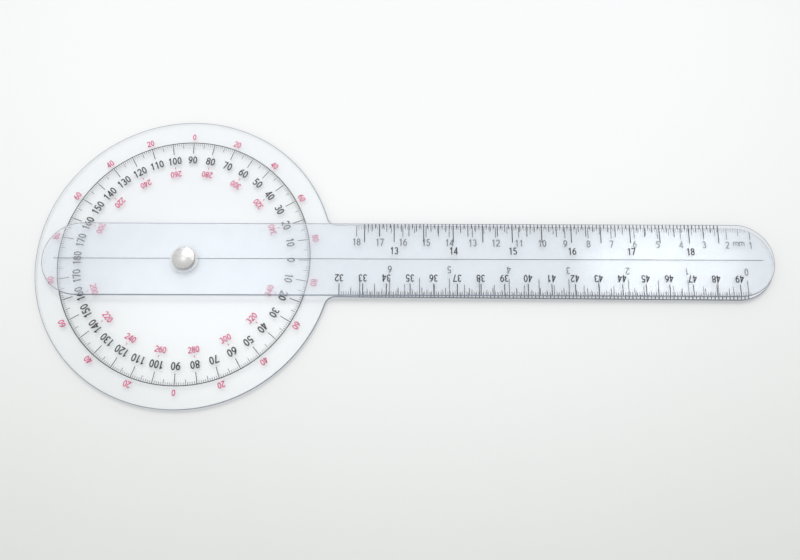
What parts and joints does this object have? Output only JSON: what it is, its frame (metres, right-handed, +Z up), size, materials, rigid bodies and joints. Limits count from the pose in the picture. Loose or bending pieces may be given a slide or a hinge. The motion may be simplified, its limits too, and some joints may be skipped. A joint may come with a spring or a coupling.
{
  "type": "goniometer",
  "caption": "Clear plastic 360-degree goniometer: a round dial plate with a fixed arm and a longer moving arm that turns on a pressed metal rivet.",
  "frame": {"origin": "on the pivot axis, at the flat underside of the rivet, the lowest point of the object", "axes": "+X along the fixed arm towards its tip, +Z up out of the printed faces, +Y completing a right-handed frame (towards the fixed arm's centimetre edge)"},
  "size_m": [0.316, 0.127, 0.0047],
  "materials": {
    "clear_plastic": "clear PVC sheet, glossy, faint cool tint",
    "moving_arm_plastic": "clear PVC sheet, glossy, slightly hazy",
    "washer_plastic": "milky satin",
    "rivet_metal": "nickel plated, polished with fine handling marks",
    "black_ink": "screen-printed ink, satin",
    "red_ink": "screen-printed ink, satin"
  },
  "bodies": {
    "dial": {"dial_plate": "clear_plastic", "friction_washer": "washer_plastic", "rivet_barrel": "rivet_metal", "rivet_cap": "rivet_metal"},
    "arm": {"moving_arm": "moving_arm_plastic"}
  },
  "joints": [
    {"name": "arm_pivot", "type": "hinge", "parent": "dial", "child": "arm", "pos_m": [0, 0, 0.00275], "axis": [0, 0, 1], "continuous": true}
  ]
}
